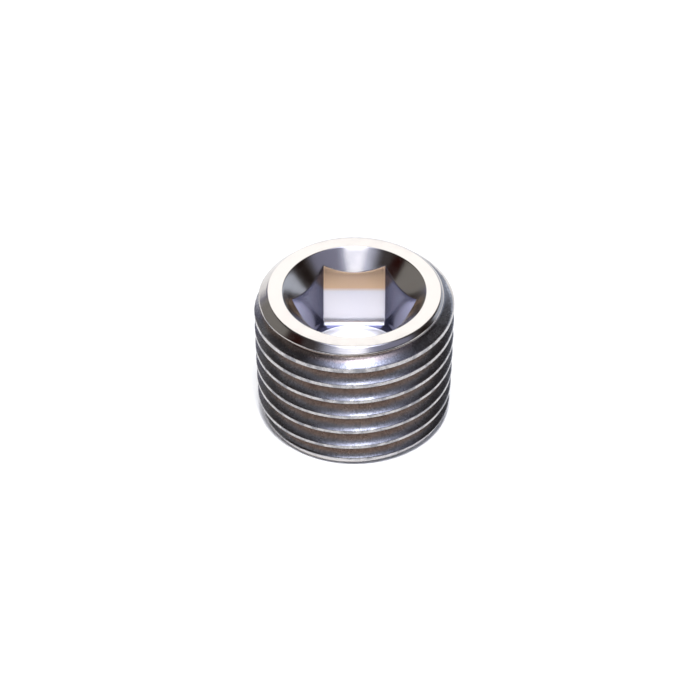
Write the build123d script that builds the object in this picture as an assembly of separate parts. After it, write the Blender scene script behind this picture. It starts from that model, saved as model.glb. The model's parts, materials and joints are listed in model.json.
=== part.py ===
"""Hex socket taper plug with an R 1/4 thread, turned and broached from one bar.

The plug stands on its small end, with the socket opening upwards. The origin is
the centre of the bottom face and +Z runs up the axis to the top land. All sizes
are in millimetres.
"""

from build123d import *
import os
from math import atan, ceil, cos, degrees, radians, tan

# ---- driving dimensions ----
length = 9.8  # bottom face to top land

# Taper pipe thread, 19 to the inch, 55 degree flanks, right hand.
gauge_diameter = 13.157  # over the crests, in the gauge plane
gauge_height = 5.0  # gauge plane above the small end
taper = 1 / 16  # growth in diameter for each millimetre of height
pitch = 25.4 / 19
flank_angle = 27.5  # each flank from the plane across the axis
thread_depth = 0.856
crest_flat = 0.223  # width of a full crest
thread_start = -36.5  # degrees round +Z where the groove leaves the bottom face
thread_clearance = 0.1  # how far the groove tool stands outside a full crest

# Turned blank. Its cone of crests gives way to a cylinder near the top, which
# leaves the last crests wide.
cylinder_height = 5.53  # start of the cylinder, above the bottom face
top_chamfer = 0.89  # width of the chamfer seen from above
top_chamfer_angle = 45.0  # from the axis
nose_chamfer = 0.42  # width of the chamfer seen from below
nose_chamfer_angle = 24.0  # from the axis

# Broached hexagon, its drilled hole and the countersink at its mouth.
socket_flats = 7.08  # across flats
socket_depth = 5.8
drill_diameter = 6.9
drill_depth = 6.05  # to the start of the drill point
drill_point_angle = 118.0  # included
mouth_diameter = 9.48
countersink_angle = 86.0  # included

# ---- derived ----
taper_angle = degrees(atan(taper / 2))
flank_slope = tan(radians(flank_angle))


def crest_radius(height):
    """Radius of a full crest at a height above the bottom face."""
    return gauge_diameter / 2 + (height - gauge_height) * taper / 2


def make_blank():
    """Turned blank: nose chamfer, taper, short cylinder and top chamfer."""
    nose_radius = crest_radius(0) - nose_chamfer
    # The chamfer rises from the nose at its own slope until it meets the cone.
    nose_height = nose_chamfer / (tan(radians(nose_chamfer_angle)) - taper / 2)
    blank_radius = crest_radius(cylinder_height)
    top_chamfer_height = top_chamfer / tan(radians(top_chamfer_angle))
    outline = Polyline(
        (0, 0),
        (nose_radius, 0),
        (crest_radius(nose_height), nose_height),
        (blank_radius, cylinder_height),
        (blank_radius, length - top_chamfer_height),
        (blank_radius - top_chamfer, length),
        (0, length),
        close=True,
    )
    return revolve(Plane.XZ * make_face(outline), axis=Axis.Z)


def make_groove_turn(index):
    """The four corner helices of one turn of the thread groove.

    Turn 0 starts one pitch below the bottom face.
    """
    base = (index - 1) * pitch
    opening = (pitch - crest_flat) / 2
    outer_half = opening + thread_clearance * flank_slope
    root_half = opening - thread_depth * flank_slope
    corners = [
        (thread_clearance, -outer_half),
        (-thread_depth, -root_half),
        (-thread_depth, root_half),
        (thread_clearance, outer_half),
    ]
    return [
        Helix(
            pitch / cos(radians(taper_angle)),
            pitch,
            crest_radius(base) + outward,
            center=(0, 0, base + rise),
            cone_angle=taper_angle,
        ).edge()
        for outward, rise in corners
    ]


def make_groove():
    """Thread groove as one solid, a pitch longer than the blank at both ends.

    So it runs out by itself through the nose and the top chamfer. Its sides are
    ruled faces between tapered helices, one set for each turn.
    """
    turns = [make_groove_turn(index) for index in range(ceil(length / pitch) + 2)]
    sides = [
        Face.make_surface_from_curves(corner, neighbour)
        for corners in turns
        for corner, neighbour in zip(corners, corners[1:] + corners[:1])
    ]
    first, last = turns[0], turns[-1]
    ends = [
        Face(Wire.make_polygon([corner @ 0 for corner in first], close=True)),
        Face(Wire.make_polygon([corner @ 1 for corner in last], close=True)),
    ]
    return Solid(Shell(sides + ends)).rotate(Axis.Z, thread_start)


def make_socket():
    """Everything cut out from the top: hexagon, drilled hole and countersink."""
    hexagon = extrude(
        Pos(0, 0, length - socket_depth)
        * RegularPolygon(socket_flats / 2, 6, major_radius=False),
        socket_depth,
    )
    drill_radius = drill_diameter / 2
    point_height = drill_radius / tan(radians(drill_point_angle / 2))
    drill_outline = Polyline(
        (0, length - drill_depth - point_height),
        (drill_radius, length - drill_depth),
        (drill_radius, length),
        (0, length),
        close=True,
    )
    drill = revolve(Plane.XZ * make_face(drill_outline), axis=Axis.Z)
    mouth_radius = mouth_diameter / 2
    sink_height = mouth_radius / tan(radians(countersink_angle / 2))
    sink_outline = Polyline((0, length - sink_height), (mouth_radius, length), (0, length), close=True)
    countersink = revolve(Plane.XZ * make_face(sink_outline), axis=Axis.Z)
    return hexagon + drill + countersink


def make_plug():
    """The finished plug as one solid."""
    return make_blank() - make_socket() - make_groove()


os.makedirs("parts", exist_ok=True)
plug = make_plug()
plug.label = "plug_body"
export_step(plug, "parts/plug_body.step")
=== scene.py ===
"""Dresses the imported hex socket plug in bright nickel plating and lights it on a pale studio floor.

The plug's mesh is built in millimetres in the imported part's own frame: the bottom
face lies on z = 0 and +Z runs up the axis. It is scaled to metres at the end.
"""

import json
import logging
from collections.abc import Callable
from dataclasses import dataclass, field
from enum import Enum
from math import atan2, cos, degrees, hypot, pi, radians, sin, sqrt, tan

import bmesh
import bpy
from mathutils import Matrix, Vector


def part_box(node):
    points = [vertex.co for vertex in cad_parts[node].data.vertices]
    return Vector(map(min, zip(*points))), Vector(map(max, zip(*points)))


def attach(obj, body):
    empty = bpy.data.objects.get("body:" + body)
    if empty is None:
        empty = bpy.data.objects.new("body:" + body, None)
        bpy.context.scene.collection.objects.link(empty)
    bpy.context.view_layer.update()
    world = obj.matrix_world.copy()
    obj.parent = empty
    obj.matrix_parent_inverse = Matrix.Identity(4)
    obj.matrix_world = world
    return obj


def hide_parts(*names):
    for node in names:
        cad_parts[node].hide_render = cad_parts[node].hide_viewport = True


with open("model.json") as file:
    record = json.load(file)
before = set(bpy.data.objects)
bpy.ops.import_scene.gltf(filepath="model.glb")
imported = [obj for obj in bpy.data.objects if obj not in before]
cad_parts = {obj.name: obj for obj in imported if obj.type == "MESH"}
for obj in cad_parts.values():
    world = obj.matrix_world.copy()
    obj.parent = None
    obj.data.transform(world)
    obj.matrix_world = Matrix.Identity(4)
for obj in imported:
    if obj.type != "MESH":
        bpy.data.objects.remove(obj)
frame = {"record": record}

MM = 0.001
NODE = "plug_body"
DEPTH = "groove_depth"
log = logging.getLogger("hex_socket_plug")


# ---------------------------------------------------------------- small helpers


def linear(hex_colour: str) -> tuple[float, float, float, float]:
    """Turns an sRGB hex colour into the linear values that a shader takes.

    Args:
        hex_colour: six hex digits, such as "d8d5d2".

    Returns:
        Red, green, blue and an alpha of 1.
    """
    channels = [int(hex_colour[i : i + 2], 16) / 255 for i in (0, 2, 4)]
    bent = [c / 12.92 if c <= 0.04045 else ((c + 0.055) / 1.055) ** 2.4 for c in channels]
    return bent[0], bent[1], bent[2], 1.0


def smooth_min(a: float, b: float, width: float) -> float:
    """The smaller of two values, rounded over where they come within a width of each other."""
    near = max(width - abs(a - b), 0.0) / width
    return min(a, b) - near * near * width / 4


def smooth_max(a: float, b: float, width: float) -> float:
    """The larger of two values, rounded where they come within a width of each other."""
    return -smooth_min(-a, -b, width)


def rolled_edge(distance: float, radius: float) -> float:
    """How far a rounded edge has drawn back, at a distance from the face that it rolls into."""
    rest = max(radius - max(distance, 0.0), 0.0)
    return radius - sqrt(radius * radius - rest * rest)


def polar(vertex: bmesh.types.BMVert, radius: float, height: float) -> None:
    """Moves a vertex to a radius and a height, at the angle that it has."""
    angle = atan2(vertex.co.y, vertex.co.x)
    vertex.co = (radius * cos(angle), radius * sin(angle), height)


def verts_of(geometry: list) -> list[bmesh.types.BMVert]:
    """The vertices in an operator's output."""
    return [g for g in geometry if isinstance(g, bmesh.types.BMVert)]


def edges_of(geometry: list) -> list[bmesh.types.BMEdge]:
    """The edges in an operator's output."""
    return [g for g in geometry if isinstance(g, bmesh.types.BMEdge)]


# ---------------------------------------------------------------- the plug's outside


@dataclass
class ThreadedBody:
    """The turned and threaded outside, from the bottom face to the top land. Sizes in mm."""

    length: float
    gauge_diameter: float = 13.157
    gauge_height: float = 5.0
    taper: float = 1 / 16
    pitch: float = 25.4 / 19
    flank_angle: float = 27.5
    thread_depth: float = 0.856
    crest_flat: float = 0.223
    thread_start: float = -36.5
    cylinder_height: float = 5.53
    top_chamfer: float = 0.89
    top_chamfer_angle: float = 45.0
    nose_chamfer: float = 0.42
    nose_chamfer_angle: float = 24.0
    crest_round: float = 0.05
    root_round: float = 0.16
    chamfer_round: float = 0.08
    land_round: float = 0.07
    nose_round: float = 0.09
    columns: int = 240

    @property
    def opening(self) -> float:
        """Half the width of the groove at the crests."""
        return (self.pitch - self.crest_flat) / 2

    @property
    def root_half(self) -> float:
        """Half the width of the groove at its root."""
        return self.opening - self.thread_depth * tan(radians(self.flank_angle))

    @property
    def land_radius(self) -> float:
        """Radius of the top land, before its edge is rounded."""
        return self.crest_radius(self.cylinder_height) - self.top_chamfer

    @property
    def nose_radius(self) -> float:
        """Radius of the bottom face, before its edge is rounded."""
        return self.crest_radius(0) - self.nose_chamfer

    def crest_radius(self, height: float) -> float:
        """Radius of a full crest at a height above the bottom face."""
        return self.gauge_diameter / 2 + (height - self.gauge_height) * self.taper / 2

    def blank_radius(self, height: float) -> float:
        """Radius of the turned blank at a height, with its edges rounded."""
        cylinder = self.crest_radius(self.cylinder_height)
        cone = smooth_min(self.crest_radius(height), cylinder, self.chamfer_round)
        down = self.length - height
        chamfer = self.land_radius + down * tan(radians(self.top_chamfer_angle))
        rising = self.nose_radius + height * tan(radians(self.nose_chamfer_angle))
        radius = smooth_min(smooth_min(cone, chamfer, self.chamfer_round), rising, self.chamfer_round)
        return radius - rolled_edge(down, self.land_round) - rolled_edge(height, self.nose_round)

    def groove_depth(self, offset: float) -> float:
        """Depth of the thread groove below the crests, at a distance along the axis from its centre."""
        flank = (self.opening - abs(offset)) / tan(radians(self.flank_angle))
        floor = smooth_min(flank, self.thread_depth, self.root_round)
        return smooth_max(floor, 0.0, self.crest_round)

    def radius(self, angle: float, height: float) -> float:
        """Radius of the surface at an angle about the axis and a height."""
        turns = (angle - radians(self.thread_start)) / (2 * pi)
        offset = (height / self.pitch - turns + 0.5) % 1.0 - 0.5
        threaded = self.crest_radius(height) - self.groove_depth(offset * self.pitch)
        return smooth_min(threaded, self.blank_radius(height), self.crest_round)

    def profile(self, mesh: bmesh.types.BMesh) -> None:
        """Adds the rows of the thread as one upright line, a pitch longer than the plug at both ends."""
        stops = [
            (-self.pitch / 2, 2),
            (-self.opening - self.crest_round, 5),
            (-self.opening + self.crest_round, 5),
            (-self.root_half - self.root_round / 2, 6),
            (0.0, 6),
            (self.root_half + self.root_round / 2, 5),
            (self.opening - self.crest_round, 5),
            (self.opening + self.crest_round, 2),
        ]
        turns = int(self.length / self.pitch) + 3
        first = -self.pitch * (1 + self.thread_start / 360)
        corners = [(first + turn * self.pitch + offset, rows) for turn in range(turns) for offset, rows in stops]
        verts = [mesh.verts.new((self.gauge_diameter / 2, 0, height)) for height, _ in corners]
        stretches: dict[int, list[bmesh.types.BMEdge]] = {}
        for low, high, (_, rows) in zip(verts, verts[1:], corners):
            stretches.setdefault(rows, []).append(mesh.edges.new((low, high)))
        for rows, edges in stretches.items():
            bmesh.ops.subdivide_edges(mesh, edges=edges, cuts=rows - 1)

    def build(self, mesh: bmesh.types.BMesh) -> tuple[list[bmesh.types.BMEdge], list[bmesh.types.BMEdge]]:
        """Spins the rows up the helix, cuts the ends flat and gives every vertex its radius.

        Args:
            mesh: the empty mesh that gets the outside.

        Returns:
            The edges of the ring at the bottom face and of the ring at the top land.
        """
        self.profile(mesh)
        bmesh.ops.spin(
            mesh,
            geom=mesh.verts[:] + mesh.edges[:],
            cent=(0, 0, 0),
            axis=(0, 0, 1),
            dvec=(0, 0, self.pitch / self.columns),
            angle=2 * pi,
            steps=self.columns,
            use_merge=False,
        )
        bmesh.ops.remove_doubles(mesh, verts=mesh.verts[:], dist=1e-4)
        self.cut_rings(mesh)
        depth = mesh.verts.layers.float.new(DEPTH)
        for vertex in mesh.verts:
            angle = atan2(vertex.co.y, vertex.co.x)
            radius = self.radius(angle, vertex.co.z)
            vertex[depth] = self.blank_radius(vertex.co.z) - radius
            polar(vertex, radius, vertex.co.z)
        for face in mesh.faces:
            height = face.calc_center_median().z
            plain = all(vertex[depth] < 0.01 for vertex in face.verts)
            ends = height > self.length - self.top_chamfer or height < self.nose_chamfer
            face.material_index = Zone.TURNED.value if plain and ends else Zone.THREAD.value
        bottom = [e for e in mesh.edges if e.is_boundary and all(v.co.z < 1e-4 for v in e.verts)]
        top = [e for e in mesh.edges if e.is_boundary and all(v.co.z > self.length - 1e-4 for v in e.verts)]
        return bottom, top

    def cut_rings(self, mesh: bmesh.types.BMesh) -> None:
        """Cuts the tube flat at both ends and puts level rings where the chamfers start and end."""
        chamfer_start = self.length - self.top_chamfer / tan(radians(self.top_chamfer_angle))
        slope = tan(radians(self.nose_chamfer_angle)) - self.taper / 2
        nose_end = self.nose_chamfer / slope
        heights = [chamfer_start + step * self.chamfer_round / 2 for step in (-1, 0, 1)]
        heights += [nose_end + step * self.chamfer_round for step in (-1, 0, 1)]
        for part in (0.15, 0.45, 1.0):
            heights += [self.length - part * self.land_round, part * self.nose_round]
        self.cut(mesh, self.length, 1)
        self.cut(mesh, 0.0, -1)
        for height in heights:
            self.cut(mesh, height, 0)

    @staticmethod
    def cut(mesh: bmesh.types.BMesh, height: float, side: int) -> None:
        """Cuts the mesh at a height, and clears what lies above (side 1) or below it (side -1)."""
        bmesh.ops.bisect_plane(
            mesh,
            geom=mesh.verts[:] + mesh.edges[:] + mesh.faces[:],
            dist=1e-5,
            plane_co=(0, 0, height),
            plane_no=(0, 0, 1),
            clear_outer=side > 0,
            clear_inner=side < 0,
        )


# ---------------------------------------------------------------- the socket


@dataclass
class KeySocket:
    """The broached hexagon with its countersink and its drilled hole. Sizes in mm."""

    length: float
    flats: float = 7.08
    depth: float = 5.8
    drill_diameter: float = 6.9
    drill_depth: float = 6.05
    drill_point_angle: float = 118.0
    mouth_diameter: float = 9.48
    countersink_angle: float = 86.0
    lip_round: float = 0.12
    corner_round: float = 0.06
    edge_round: float = 0.1
    columns_per_flat: int = 44
    crowding: float = 0.7
    tip_wear: float = 0.17

    def hexagon_radius(self, angle: float) -> float:
        """Distance from the axis to the hexagon at an angle, with rounded corners."""
        sector = pi / 3
        nearest = round((angle - pi / 2) / sector) * sector + pi / 2
        reaches = sorted(self.flats / 2 / cos(angle - nearest + side * sector) for side in (-1, 0, 1))
        return smooth_min(reaches[0], reaches[1], self.corner_round)

    def sink_radius(self, height: float) -> float:
        """Radius of the countersink's cone at a height."""
        return self.mouth_diameter / 2 - (self.length - height) * tan(radians(self.countersink_angle / 2))

    def sink_height(self, radius: float) -> float:
        """Height at which the countersink's cone has a radius."""
        return self.length - (self.mouth_diameter / 2 - radius) / tan(radians(self.countersink_angle / 2))

    def spread_angle(self, angle: float) -> float:
        """Crowds evenly spaced angles towards the hexagon's corners, which lie at whole sixths of a turn."""
        sector = pi / 3
        part = (angle % sector) / sector
        return angle - self.crowding * sector * sin(2 * pi * part) / (2 * pi)

    def rings(self) -> list[Callable[[float], tuple[float, float]]]:
        """The rings from the lip to the drill point. Each gives a radius and a height for an angle."""
        mouth = self.mouth_diameter / 2
        slope = radians(90 - self.countersink_angle / 2)
        reach = self.lip_round * tan(slope / 2)
        rings: list[Callable[[float], tuple[float, float]]] = []
        for step in range(5):
            turn = slope * step / 4
            radius = mouth + reach - self.lip_round * sin(turn)
            height = self.length - self.lip_round * (1 - cos(turn))
            rings.append(lambda angle, r=radius, z=height: (r, z))
        lip_end = self.length - self.lip_round * (1 - cos(slope))
        for part in (0.2, 0.4, 0.6, 0.8):
            rings.append(lambda angle, p=part: self.on_cone(angle, lip_end, p))
        for step in (-3, -2, -1, 0, 1, 2, 3):
            rings.append(lambda angle, s=step: self.on_edge(angle, s / 3))
        floor = self.length - self.depth
        for part in (0.12, 0.25, 0.4, 0.55, 0.7, 0.85, 1.0):
            rings.append(lambda angle, p=part: self.on_wall(angle, floor, p))
        drill = self.drill_diameter / 2
        shoulder = self.length - self.drill_depth
        rings.append(lambda angle: (drill + 0.03, floor))
        rings.append(lambda angle: (drill, floor - 0.03))
        rings.append(lambda angle: (drill, shoulder + 0.04))
        rise = 1 / tan(radians(self.drill_point_angle / 2))
        rings.append(lambda angle: (drill - 0.04, shoulder - 0.02))
        for part in (0.9, 0.75, 0.6, 0.5, 0.4, 0.3, 0.2, 0.12, 0.05):
            rings.append(lambda angle, p=part: (drill * p, shoulder - drill * (1 - self.point_share(p)) * rise))
        return rings

    def point_share(self, part: float) -> float:
        """How far up its cone the drill point is at a share of its radius, with a worn tip."""
        return (part**2 + self.tip_wear**2) ** 0.5

    def edge_height(self, angle: float) -> float:
        """Height at which the countersink meets the hexagon."""
        return self.sink_height(self.hexagon_radius(angle))

    def on_cone(self, angle: float, top: float, part: float) -> tuple[float, float]:
        """A point on the countersink, part of the way from its lip to its edge with the hexagon."""
        height = top + (self.edge_height(angle) + self.edge_round / 2 - top) * part
        return self.sink_radius(height), height

    def on_edge(self, angle: float, part: float) -> tuple[float, float]:
        """A point on the rounded edge between the countersink (part -1) and the hexagon (part 1)."""
        height = self.edge_height(angle) - part * self.edge_round / 2
        reach = smooth_max(self.sink_radius(height), self.hexagon_radius(angle), self.edge_round / 2)
        return reach, height

    def on_wall(self, angle: float, floor: float, part: float) -> tuple[float, float]:
        """A point on the hexagon's wall, part of the way from its upper edge to its floor."""
        top = self.edge_height(angle) - self.edge_round / 2
        return self.hexagon_radius(angle), top + (floor - top) * part

    def build(self, mesh: bmesh.types.BMesh) -> list[bmesh.types.BMEdge]:
        """Extrudes one ring down the socket and closes it at the drill point.

        Args:
            mesh: the mesh that gets the socket.

        Returns:
            The edges of the ring that lies in the top land.
        """
        made = bmesh.ops.create_circle(mesh, cap_ends=False, segments=6 * self.columns_per_flat, radius=1.0)
        verts = made["verts"]
        for vertex in verts:
            angle = self.spread_angle(atan2(vertex.co.y, vertex.co.x))
            vertex.co = (cos(angle), sin(angle), 0)
        mouth = list({edge for vertex in verts for edge in vertex.link_edges})
        rings = self.rings()
        self.place(verts, rings[0])
        edges = mouth
        for ring in rings[1:]:
            geometry = bmesh.ops.extrude_edge_only(mesh, edges=edges)["geom"]
            self.place(verts_of(geometry), ring)
            edges = [e for e in edges_of(geometry) if e.is_boundary]
        fan = bmesh.ops.extrude_edge_only(mesh, edges=edges)["geom"]
        point = self.length - self.drill_depth
        point -= self.drill_diameter / 2 / tan(radians(self.drill_point_angle / 2)) * (1 - self.point_share(0.0))
        bmesh.ops.pointmerge(mesh, verts=verts_of(fan), merge_co=(0, 0, point))
        self.mark_zones(mesh, {face for vertex in verts for face in vertex.link_faces})
        return mouth

    def mark_zones(self, mesh: bmesh.types.BMesh, first: set[bmesh.types.BMFace]) -> None:
        """Gives the socket's faces the zone that each was cut in."""
        floor = self.length - self.depth
        for face in mesh.faces:
            middle = face.calc_center_median()
            if hypot(middle.x, middle.y) > self.mouth_diameter / 2 + 0.2:
                continue
            if middle.z < floor - 0.01 and middle.z > 0.1:
                face.material_index = Zone.DRILLED.value
            elif middle.z < self.edge_height(atan2(middle.y, middle.x)) - 0.02 and middle.z > 0.1:
                face.material_index = Zone.BROACHED.value
            else:
                face.material_index = Zone.TURNED.value

    @staticmethod
    def place(verts: list[bmesh.types.BMVert], ring: Callable[[float], tuple[float, float]]) -> None:
        """Moves the vertices of a ring to where its formula puts them."""
        for vertex in verts:
            radius, height = ring(atan2(vertex.co.y, vertex.co.x))
            polar(vertex, radius, height)


# ---------------------------------------------------------------- materials in nodes


class NodeTree:
    """A material's node tree, with one way to add a node."""

    def __init__(self, name: str) -> None:
        """Starts an empty tree."""
        self.material = bpy.data.materials.new(name)
        self.material.use_nodes = True
        self.nodes = self.material.node_tree.nodes
        self.links = self.material.node_tree.links
        self.nodes.clear()

    def add(self, kind: str, settings: dict | None = None, **inputs: object) -> bpy.types.NodeSocket:
        """Adds a node with its settings and its links.

        Args:
            kind: the node's Blender type.
            settings: its own options, such as an operation.
            inputs: values or links for its inputs, by name or as in_0, in_1.

        Returns:
            The first of its outputs that is in use, if it has any. The node's others hang on this one's node.
        """
        node = self.nodes.new(kind)
        for name, value in (settings or {}).items():
            setattr(node, name, value)
        for name, value in inputs.items():
            key = int(name[3:]) if name.startswith("in_") else name.replace("_", " ")
            if isinstance(value, bpy.types.NodeSocket):
                self.links.new(value, node.inputs[key])
            else:
                node.inputs[key].default_value = value
        return next((output for output in node.outputs if output.enabled), None)


# ---------------------------------------------------------------- the finishes


class Zone(Enum):
    """The parts of the surface that were cut in different ways, by material slot."""

    TURNED = 0
    THREAD = 1
    BROACHED = 2
    DRILLED = 3


@dataclass(frozen=True)
class TurnedNickel:
    """Bright nickel over turned steel: a mirror, mottled a little, that shows the tool's rings. Sizes in mm.

    The rings are drawn about twice as coarse as the 0.05 mm feed that cut them, so that they show.
    """

    name: str = "bright_nickel_on_turned_steel"
    colour: str = "ccc7c2"
    roughness: float = 0.17
    roughness_spread: float = 0.05
    mark_spacing: float = 0.11
    mark_height: float = 0.0016
    patch_size: float = 0.8
    brushing: float = 0.7
    metal: float = 1.0

    def material(self) -> bpy.types.Material:
        """Builds the node tree.

        Returns:
            The finish as a material.
        """
        tree = NodeTree(self.name)
        place = tree.add("ShaderNodeTexCoord").node.outputs["Object"]
        place = tree.add("ShaderNodeVectorMath", {"operation": "SCALE"}, in_0=place, Scale=1 / MM)
        bump = tree.add("ShaderNodeBump", Strength=1.0, Distance=self.mark_height * MM, Height=self.marks(tree, place))
        shader = tree.add(
            "ShaderNodeBsdfPrincipled",
            Base_Color=self.base_colour(tree, place),
            Metallic=self.metal,
            Roughness=self.sheen(tree, place),
            Anisotropic=self.brushing,
            Anisotropic_Rotation=0.25,
            Tangent=tree.add("ShaderNodeVectorMath", {"operation": "CROSS_PRODUCT"}, in_0=(0, 0, 1), in_1=place),
            Normal=self.facing(tree, bump),
        )
        tree.add("ShaderNodeOutputMaterial", Surface=shader)
        return tree.material

    def facing(self, tree: NodeTree, bump: bpy.types.NodeSocket) -> bpy.types.NodeSocket:
        """The way that the surface faces, which its marks alone turn."""
        return bump

    def base_colour(self, tree: NodeTree, place: bpy.types.NodeSocket) -> object:
        """The metal's own colour."""
        return linear(self.colour)

    def sheen(self, tree: NodeTree, place: bpy.types.NodeSocket) -> bpy.types.NodeSocket:
        """Roughness that drifts from patch to patch."""
        patches = tree.add("ShaderNodeTexNoise", Vector=place, Scale=1 / self.patch_size, Detail=4.0)
        low, high = self.roughness - self.roughness_spread, self.roughness + self.roughness_spread
        return tree.add("ShaderNodeMapRange", in_0=patches, in_1=0.3, in_2=0.7, in_3=low, in_4=high)

    def marks(self, tree: NodeTree, place: bpy.types.NodeSocket) -> bpy.types.NodeSocket:
        """Height of the rings that the tool left, which depend on the radius and the height alone."""
        level = tree.add("ShaderNodeVectorMath", {"operation": "MULTIPLY"}, in_0=place, in_1=(1, 1, 0))
        radius = tree.add("ShaderNodeVectorMath", {"operation": "LENGTH"}, in_0=level).node.outputs["Value"]
        height = tree.add("ShaderNodeSeparateXYZ", Vector=place).node.outputs["Z"]
        around = tree.add("ShaderNodeCombineXYZ", X=radius, Y=height)
        return tree.add("ShaderNodeTexNoise", Vector=around, Scale=1 / self.mark_spacing, Detail=3.0)


@dataclass(frozen=True)
class ThreadNickel(TurnedNickel):
    """Bright nickel over the cut thread: clean at the crests and satin, darker, brown and specked down in the groove.

    The darkening and the brown are painted shade and a painted reflection. The cut is rougher than on the turned
    faces, with streaks that run along the thread.
    """

    name: str = "bright_nickel_on_cut_thread"
    colour: str = "c2c0c0"
    # Painted shade and a painted brown reflection: the flank, groove and root colours darken and brown the thread with
    # depth.
    painted_flank_shade_colour: str = "96969a"
    painted_groove_brown_colour: str = "a89a92"
    painted_root_brown_colour: str = "968680"
    crest_depth: float = 0.05
    brown_from: float = 0.3
    brown_to: float = 0.5
    root_from: float = 0.72
    roughness: float = 0.26
    roughness_spread: float = 0.05
    mark_spacing: float = 0.07
    mark_height: float = 0.002
    speck_size: float = 0.13

    def base_colour(self, tree: NodeTree, place: bpy.types.NodeSocket) -> object:
        """Fades with the groove's depth from clean plating, through darker painted shade, to a painted brown
        reflection, with specks in the brown.
        """
        depth = tree.add("ShaderNodeAttribute", {"attribute_name": DEPTH}).node.outputs["Fac"]
        drift = tree.add("ShaderNodeTexNoise", Vector=place, Scale=1 / self.patch_size, Detail=3.0)
        drift = tree.add("ShaderNodeMath", {"operation": "MULTIPLY_ADD"}, in_0=drift, in_1=0.3, in_2=-0.15)
        depth = tree.add("ShaderNodeMath", {"operation": "ADD"}, in_0=depth, in_1=drift)
        specks = tree.add("ShaderNodeTexNoise", Vector=place, Scale=1 / self.speck_size, Detail=2.0)
        specks = tree.add("ShaderNodeMapRange", in_0=specks, in_1=0.3, in_2=0.7, in_3=0.75, in_4=1.2)
        colour: object = linear(self.colour)
        # Each step darkens the colour further down the groove: painted shade, browning into a painted reflection.
        for starts, ends, lower in (
            (0.0, self.crest_depth, self.painted_flank_shade_colour),
            (self.brown_from, self.brown_to, self.painted_groove_brown_colour),
            (self.root_from - 0.1, self.root_from + 0.1, self.painted_root_brown_colour),
        ):
            share = tree.add("ShaderNodeMapRange", in_0=depth, in_1=starts, in_2=ends)
            settings = {"data_type": "RGBA"}
            colour = tree.add("ShaderNodeMix", settings, in_0=share, in_6=colour, in_7=linear(lower))
        return tree.add("ShaderNodeVectorMath", {"operation": "SCALE"}, in_0=colour, Scale=specks)

    def marks(self, tree: NodeTree, place: bpy.types.NodeSocket) -> bpy.types.NodeSocket:
        """Height of the streaks, which follow the groove's depth and drift slowly along the thread."""
        depth = tree.add("ShaderNodeAttribute", {"attribute_name": DEPTH}).node.outputs["Fac"]
        across = tree.add("ShaderNodeMath", {"operation": "DIVIDE"}, in_0=depth, in_1=self.mark_spacing)
        slow = tree.add("ShaderNodeVectorMath", {"operation": "MULTIPLY"}, in_0=place, in_1=(0.8, 0.8, 0))
        fast = tree.add("ShaderNodeCombineXYZ", Z=across)
        along = tree.add("ShaderNodeVectorMath", {"operation": "ADD"}, in_0=slow, in_1=fast)
        return tree.add("ShaderNodeTexNoise", Vector=along, Scale=1.0, Detail=2.0)


@dataclass(frozen=True)
class BroachedNickel(TurnedNickel):
    """Bright nickel over the broached flats: a mirror with faint upright streaks from the broach's teeth, with painted
    reflection in its colour.
    """

    name: str = "bright_nickel_on_broached_flats"
    colour: str = "f0eff2"
    # Painted reflection: a warm band at the top of the +Y flat.
    painted_warm_reflection_colour: str = "eccaa4"
    warm_reflection_from: float = 7.05
    warm_reflection_fade: float = 0.15
    # Painted reflection on the four side flats: pale blue-grey, darkening towards the corners by the ±Y flats.
    painted_pale_side_reflection: str = "c2c2d8"
    painted_dark_side_reflection: str = "5a5a70"
    side_reflection_from: float = 0.5
    side_reflection_to: float = 3.4
    flat_side: float = 3.48
    metal: float = 0.95
    roughness: float = 0.18
    roughness_spread: float = 0.03
    mark_spacing: float = 0.16
    mark_height: float = 0.002
    brushing: float = 0.0

    def base_colour(self, tree: NodeTree, place: bpy.types.NodeSocket) -> object:
        """Clean flats at +Y and -Y, with a painted warm reflection at the top of the +Y one; on the four beside them a
        painted blue-grey reflection that darkens towards the ±Y flats.
        """
        mix = {"data_type": "RGBA"}
        across = tree.add("ShaderNodeSeparateXYZ", Vector=place).node.outputs
        # The warm band at the top of the +Y flat is a painted reflection.
        low, high = self.warm_reflection_from - self.warm_reflection_fade, self.warm_reflection_from + self.warm_reflection_fade
        above = tree.add("ShaderNodeMapRange", in_0=across["Z"], in_1=low, in_2=high)
        behind = tree.add("ShaderNodeMath", {"operation": "GREATER_THAN"}, in_0=across["Y"], in_1=self.flat_side)
        share = tree.add("ShaderNodeMath", {"operation": "MULTIPLY"}, in_0=above, in_1=behind)
        flat = tree.add("ShaderNodeMix", mix, in_0=share, in_6=linear(self.colour), in_7=linear(self.painted_warm_reflection_colour))
        # The four side flats get a painted reflection, pale blue-grey darkening towards the ±Y flats.
        beside = tree.add("ShaderNodeMath", {"operation": "ABSOLUTE"}, in_0=across["Y"])
        towards_corner = tree.add("ShaderNodeMapRange", in_0=beside, in_1=self.side_reflection_from, in_2=self.side_reflection_to)
        painted_side_reflection = tree.add(
            "ShaderNodeMix", mix, in_0=towards_corner, in_6=linear(self.painted_pale_side_reflection), in_7=linear(self.painted_dark_side_reflection)
        )
        facing_side = tree.add("ShaderNodeMath", {"operation": "LESS_THAN"}, in_0=beside, in_1=self.flat_side)
        return tree.add("ShaderNodeMix", mix, in_0=facing_side, in_6=flat, in_7=painted_side_reflection)

    def marks(self, tree: NodeTree, place: bpy.types.NodeSocket) -> bpy.types.NodeSocket:
        """Height of the streaks, which run straight down."""
        upright = tree.add("ShaderNodeVectorMath", {"operation": "MULTIPLY"}, in_0=place, in_1=(1, 1, 0.04))
        return tree.add("ShaderNodeTexNoise", Vector=upright, Scale=1 / self.mark_spacing, Detail=2.0)


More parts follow.
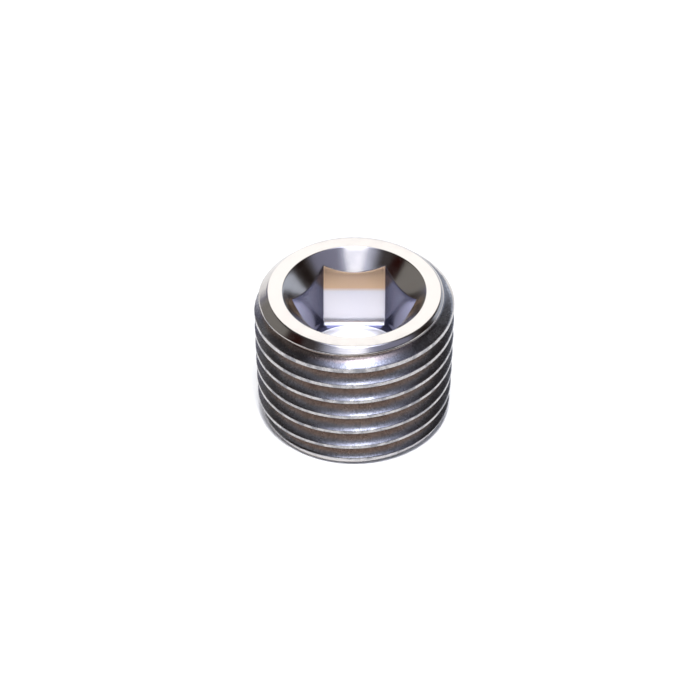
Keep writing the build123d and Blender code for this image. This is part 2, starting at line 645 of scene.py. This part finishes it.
@dataclass(frozen=True)
class DrilledNickel(TurnedNickel):
    """Bright nickel over the drill's cone: satin and pale, because the drill left it rough."""

    name: str = "bright_nickel_on_drilled_cone"
    colour: str = "f0eeee"
    metal: float = 0.7
    roughness: float = 0.34
    roughness_spread: float = 0.03
    brushing: float = 0.0
    mark_height: float = 0.002
    flatness: float = 0.85

    def facing(self, tree: NodeTree, bump: bpy.types.NodeSocket) -> bpy.types.NodeSocket:
        """Leans the cone's normals towards the axis."""
        settings = {"data_type": "VECTOR"}
        leaning = tree.add("ShaderNodeMix", settings, in_0=self.flatness, in_4=bump, in_5=(0, 0, 1))
        return tree.add("ShaderNodeVectorMath", {"operation": "NORMALIZE"}, in_0=leaning)


# ---------------------------------------------------------------- the assembled plug


@dataclass
class HexSocketPlug:
    """The whole plug as one closed mesh."""

    length: float
    slot: str
    finishes: tuple[TurnedNickel, ...] = (TurnedNickel(), ThreadNickel(), BroachedNickel(), DrilledNickel())

    def build(self) -> bpy.types.Object:
        """Builds the mesh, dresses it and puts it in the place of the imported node.

        Returns:
            The finished object.
        """
        mesh = bmesh.new()
        bottom, top = ThreadedBody(self.length).build(mesh)
        mouth = KeySocket(self.length).build(mesh)
        bmesh.ops.triangle_fill(mesh, edges=top + mouth, use_beauty=True, normal=(0, 0, 1))
        bmesh.ops.contextual_create(mesh, geom=bottom)
        bmesh.ops.recalc_face_normals(mesh, faces=mesh.faces[:])
        open_edges = sum(not edge.is_manifold for edge in mesh.edges)
        bmesh.ops.scale(mesh, vec=(MM, MM, MM), verts=mesh.verts[:])
        for face in mesh.faces:
            face.smooth = True
        data = bpy.data.meshes.new("hex_socket_plug")
        mesh.to_mesh(data)
        mesh.free()
        plug = bpy.data.objects.new("hex_socket_plug", data)
        bpy.context.scene.collection.objects.link(plug)
        weighted = plug.modifiers.new("even_normals", "WEIGHTED_NORMAL")
        weighted.keep_sharp = True
        for finish in self.finishes:
            data.materials.append(finish.material())
        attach(plug, "root")
        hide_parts(NODE)
        log.info("%s: %d faces, %d open edges", plug.name, len(data.polygons), open_edges)
        return plug


# ---------------------------------------------------------------- the studio


class PanelShape(Enum):
    """How a bright patch on the tent is bounded."""

    ROUND = "round"
    WINDOW = "window"


@dataclass(frozen=True)
class Panel:
    """A soft-edged patch on the tent. Angles in degrees, turned from the camera's side (0) to +X (90).

    A round panel has the width as its diameter. A window lies between level and upright lines.
    """

    shape: PanelShape
    azimuth: float
    elevation: float
    width: float
    height: float
    softness: float
    colour: str
    strength: float


def direction(azimuth: float, elevation: float) -> Vector:
    """Unit vector from the plug towards an azimuth and an elevation in degrees."""
    turn, rise = radians(azimuth), radians(elevation)
    return Vector((cos(rise) * sin(turn), -cos(rise) * cos(turn), sin(rise)))


@dataclass
class LightTent:
    """A dark tent round the plug, with bright panels. Only the plug's reflections and the floor see it."""

    radius: float = 0.5
    cloth: str = "464243"
    panels: tuple[Panel, ...] = (
        Panel(PanelShape.WINDOW, -150, 12, 50, 34, 20, "84849c", 1.0),
        Panel(PanelShape.WINDOW, -112, 20, 50, 32, 7, "8c8a88", 1.0),
        Panel(PanelShape.WINDOW, -77, 33, 20, 22, 10, "2c0c06", 1.0),
        Panel(PanelShape.WINDOW, 94, 30, 16, 20, 10, "241c1a", 1.0),
        Panel(PanelShape.WINDOW, 180, 30, 60, 60, 12, "fafafc", 1.8),
        Panel(PanelShape.WINDOW, 148, 6, 80, 32, 10, "b4bccc", 1.3),
        Panel(PanelShape.WINDOW, 48, 46, 60, 26, 16, "8c8ea8", 1.1),
        Panel(PanelShape.WINDOW, -9, 48, 60, 10, 30, "d4dcf8", 1.8),
        Panel(PanelShape.WINDOW, -3, 58, 44, 12, 8, "f0f2ff", 3.4),
        Panel(PanelShape.WINDOW, 0, 38, 30, 8, 8, "ffffff", 2.8),
        Panel(PanelShape.WINDOW, 3, 70, 80, 14, 10, "c8d0ec", 1.4),
        Panel(PanelShape.ROUND, 5, 81, 34, 0, 20, "ccd2ee", 4.0),
        Panel(PanelShape.ROUND, 5, 82, 13, 0, 12, "e8ecff", 14.0),
    )

    def build(self) -> bpy.types.Object:
        """Builds the dome and paints its panels."""
        mesh = bmesh.new()
        bmesh.ops.create_uvsphere(mesh, u_segments=48, v_segments=24, radius=self.radius)
        bmesh.ops.bisect_plane(
            mesh,
            geom=mesh.verts[:] + mesh.edges[:] + mesh.faces[:],
            dist=1e-6,
            plane_co=(0, 0, -0.01),
            plane_no=(0, 0, 1),
            clear_inner=True,
        )
        bmesh.ops.reverse_faces(mesh, faces=mesh.faces[:])
        tent = stage_object("light_tent", mesh)
        tent.visible_camera = False
        tent.visible_shadow = False
        tent.data.materials.append(self.material())
        return tent

    def material(self) -> bpy.types.Material:
        """Emission that follows the direction from the plug.

        Returns:
            The cloth with its panels as a material.
        """
        tree = NodeTree("tent_cloth")
        place = tree.add("ShaderNodeTexCoord").node.outputs["Object"]
        towards = tree.add("ShaderNodeVectorMath", {"operation": "NORMALIZE"}, in_0=place)
        axes = tree.add("ShaderNodeSeparateXYZ", Vector=towards).node.outputs
        forward = tree.add("ShaderNodeMath", {"operation": "MULTIPLY"}, in_0=axes["Y"], in_1=-1.0)
        azimuth = tree.add("ShaderNodeMath", {"operation": "ARCTAN2"}, in_0=axes["X"], in_1=forward)
        azimuth = tree.add("ShaderNodeMath", {"operation": "DEGREES"}, in_0=azimuth)
        elevation = tree.add("ShaderNodeMath", {"operation": "ARCSINE"}, in_0=axes["Z"])
        elevation = tree.add("ShaderNodeMath", {"operation": "DEGREES"}, in_0=elevation)
        colour: object = linear(self.cloth)
        for panel in self.panels:
            if panel.shape is PanelShape.ROUND:
                share = self.round_share(tree, panel, towards)
            else:
                share = self.window_share(tree, panel, azimuth, elevation)
            bright = (*(Vector(linear(panel.colour)[:3]) * panel.strength), 1.0)
            colour = tree.add("ShaderNodeMix", {"data_type": "RGBA"}, in_0=share, in_6=colour, in_7=bright)
        glow = tree.add("ShaderNodeEmission", Color=colour, Strength=1.0)
        tree.add("ShaderNodeOutputMaterial", Surface=glow)
        return tree.material

    @staticmethod
    def edge_share(tree: NodeTree, apart: bpy.types.NodeSocket, size: float, softness: float) -> bpy.types.NodeSocket:
        """1 inside half a size, smoothly down to 0 over a softness round its edge."""
        inner, outer = (size - softness) / 2, (size + softness) / 2
        settings = {"interpolation_type": "SMOOTHSTEP"}
        return tree.add("ShaderNodeMapRange", settings, in_0=apart, in_1=inner, in_2=outer, in_3=1.0, in_4=0.0)

    def round_share(self, tree: NodeTree, panel: Panel, towards: bpy.types.NodeSocket) -> bpy.types.NodeSocket:
        """How much a round panel covers a direction."""
        centre = direction(panel.azimuth, panel.elevation)
        settings = {"operation": "DOT_PRODUCT"}
        along = tree.add("ShaderNodeVectorMath", settings, in_0=towards, in_1=centre).node.outputs["Value"]
        apart = tree.add("ShaderNodeMath", {"operation": "ARCCOSINE"}, in_0=along)
        apart = tree.add("ShaderNodeMath", {"operation": "DEGREES"}, in_0=apart)
        return self.edge_share(tree, apart, panel.width, panel.softness)

    def window_share(
        self, tree: NodeTree, panel: Panel, azimuth: bpy.types.NodeSocket, elevation: bpy.types.NodeSocket
    ) -> bpy.types.NodeSocket:
        """How much a window covers an azimuth and an elevation."""
        turned = tree.add("ShaderNodeMath", {"operation": "SUBTRACT"}, in_0=azimuth, in_1=panel.azimuth)
        turned = tree.add("ShaderNodeMath", {"operation": "WRAP"}, in_0=turned, in_1=180.0, in_2=-180.0)
        beside = tree.add("ShaderNodeMath", {"operation": "ABSOLUTE"}, in_0=turned)
        raised = tree.add("ShaderNodeMath", {"operation": "SUBTRACT"}, in_0=elevation, in_1=panel.elevation)
        above = tree.add("ShaderNodeMath", {"operation": "ABSOLUTE"}, in_0=raised)
        across = self.edge_share(tree, beside, panel.width, panel.softness)
        upright = self.edge_share(tree, above, panel.height, panel.softness)
        return tree.add("ShaderNodeMath", {"operation": "MULTIPLY"}, in_0=across, in_1=upright)


def stage_object(name: str, mesh: bmesh.types.BMesh) -> bpy.types.Object:
    """Turns a bmesh into an object that belongs to the studio and not to the plug."""
    data = bpy.data.meshes.new(name)
    mesh.to_mesh(data)
    mesh.free()
    thing = bpy.data.objects.new(name, data)
    bpy.context.scene.collection.objects.link(thing)
    return thing


@dataclass
class Studio:
    """Floor, surroundings and camera."""

    tent: LightTent = field(default_factory=LightTent)
    lamp_elevation: float = 71.0
    lamp_azimuth: float = 5.0
    lamp_distance: float = 0.4
    lamp_size: float = 0.06
    lamp_power: float = 1.5
    floor_lift: float = 0.7
    # Painted contact shadow: inside the first radius (mm) the floor gets no lift, and the lift is back in full by the
    # second.
    painted_shadow_radius: float = 6.1
    painted_shadow_fade_radius: float = 6.9

    def build(self) -> None:
        """Builds everything round the plug."""
        self.camera()
        self.floor()
        self.tent.build()
        self.lamp()
        self.world()

    def camera(self) -> None:
        """A long lens, looking down at the plug from the front."""
        aim = Vector((-0.28, 0.0, 4.74)) * MM
        elevation = radians(40.09)
        distance = 226.7 * MM
        data = bpy.data.cameras.new("camera")
        data.sensor_width = 36.0
        data.lens = 175.15
        data.clip_start = 0.01
        camera = bpy.data.objects.new("camera", data)
        camera.location = Vector((0, aim.y - distance * cos(elevation), aim.z + distance * sin(elevation)))
        camera.rotation_euler = (aim - camera.location).to_track_quat("-Z", "Y").to_euler()
        bpy.context.scene.collection.objects.link(camera)
        bpy.context.scene.camera = camera

    def lamp(self) -> None:
        """The key lamp, almost overhead."""
        data = bpy.data.lights.new("key_lamp", "AREA")
        data.shape = "DISK"
        data.size = self.lamp_size
        data.energy = self.lamp_power
        lamp = bpy.data.objects.new("key_lamp", data)
        elevation, azimuth = radians(self.lamp_elevation), radians(self.lamp_azimuth)
        flat = cos(elevation)
        lamp.location = self.lamp_distance * Vector((flat * sin(azimuth), -flat * cos(azimuth), sin(elevation)))
        lamp.visible_glossy = False
        lamp.rotation_euler = lamp.location.to_track_quat("Z", "Y").to_euler()
        bpy.context.scene.collection.objects.link(lamp)

    def floor(self) -> None:
        """The pale floor, lifted towards white where rays see it, with a painted contact shadow: the lift is held off
        in a ring round the plug.
        """
        mesh = bmesh.new()
        bmesh.ops.create_grid(mesh, x_segments=1, y_segments=1, size=1.0)
        floor = stage_object("floor", mesh)
        tree = NodeTree("pale_floor")
        paper = tree.add("ShaderNodeBsdfDiffuse", Color=linear("f6f6f6"))
        rays = tree.add("ShaderNodeLightPath").node.outputs
        seen = tree.add("ShaderNodeMath", {"operation": "ADD"}, in_0=rays["Is Camera Ray"], in_1=rays["Is Glossy Ray"])
        seen = tree.add("ShaderNodeMath", {"operation": "ADD"}, in_0=seen, in_1=rays["Is Transmission Ray"])
        place = tree.add("ShaderNodeTexCoord").node.outputs["Object"]
        away = tree.add("ShaderNodeVectorMath", {"operation": "LENGTH"}, in_0=place).node.outputs["Value"]
        # Painted contact shadow: no lift near the plug, rising to the full lift further out.
        near, far = self.painted_shadow_radius * MM, self.painted_shadow_fade_radius * MM
        clear = tree.add("ShaderNodeMapRange", in_0=away, in_1=near, in_2=far, in_4=self.floor_lift)
        lift = tree.add("ShaderNodeMath", {"operation": "MULTIPLY"}, in_0=seen, in_1=clear)
        white = tree.add("ShaderNodeEmission", Strength=1.0)
        both = tree.add("ShaderNodeMixShader", in_0=lift, in_1=paper, in_2=white)
        tree.add("ShaderNodeOutputMaterial", Surface=both)
        floor.data.materials.append(tree.material)

    def world(self) -> None:
        """White behind everything."""
        world = bpy.data.worlds.new("world")
        world.use_nodes = True
        world.node_tree.nodes["Background"].inputs["Color"].default_value = (1, 1, 1, 1)
        world.node_tree.nodes["Background"].inputs["Strength"].default_value = 1.0
        bpy.context.scene.world = world


def main() -> None:
    """Builds the plug and its studio."""
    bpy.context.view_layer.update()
    low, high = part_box(NODE)
    slot = frame["record"]["materials"][0]["slot"]
    HexSocketPlug(length=(high.z - low.z) / MM, slot=slot).build()
    Studio().build()
    bpy.context.scene.view_settings.view_transform = "Standard"


if __name__ == "__main__":
    logging.basicConfig(level=logging.INFO)
    main()
